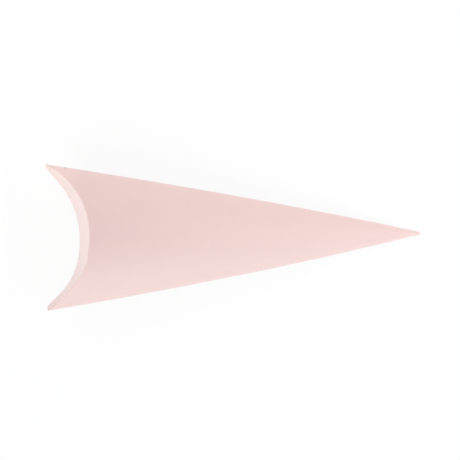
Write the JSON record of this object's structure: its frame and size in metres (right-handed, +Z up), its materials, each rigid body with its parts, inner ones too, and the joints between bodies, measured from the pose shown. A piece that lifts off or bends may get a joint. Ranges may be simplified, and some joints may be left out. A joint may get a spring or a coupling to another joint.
{
  "type": "paper favor cone",
  "caption": "Tapering pillow-style gift cone folded from one card blank, with a glued side seam and two curved flaps that fold in to shut its wide end.",
  "frame": {"origin": "bottom centre of the closed cone's bounding box, on the surface its back panel lies on", "axes": "+X from the wide mouth to the tip, +Y across the cone to its glued seam, +Z up out of the front panel"},
  "size_m": [0.1996, 0.0781, 0.0358],
  "materials": {
    "front_panel": "smooth pale pink card, matt with a faint pearl",
    "back_panel": "smooth pale pink card, matt with a faint pearl",
    "side_fold": "scored and folded pale pink card",
    "seam_fold": "scored and folded pale pink card",
    "glue_tab": "pale pink card, inside face",
    "glue_strip": "thin line of dried white craft glue",
    "outer_flap": "smooth pale pink card, matt with a faint pearl",
    "inner_flap": "smooth pale pink card, matt with a faint pearl"
  },
  "bodies": {
    "sleeve": {"front_panel": "front_panel", "back_panel": "back_panel", "side_fold": "side_fold", "seam_fold": "seam_fold", "glue_tab": "glue_tab", "glue_strip": "glue_strip"},
    "outer_flap": {"outer_flap": "outer_flap"},
    "inner_flap": {"inner_flap": "inner_flap"}
  },
  "joints": [
    {"name": "outer_flap_fold", "type": "hinge", "parent": "sleeve", "child": "outer_flap", "pos_m": [-0.07691, 0, 0.03579], "axis": [0, 1, 0], "range_deg": [0, 100]},
    {"name": "inner_flap_fold", "type": "hinge", "parent": "sleeve", "child": "inner_flap", "pos_m": [-0.07958, 0, -0.00004], "axis": [0, -1, 0], "range_deg": [0, 80]}
  ],
  "couplings": [
    {"joint": "inner_flap_fold", "follows": "outer_flap_fold", "ratio": 0.8}
  ]
}
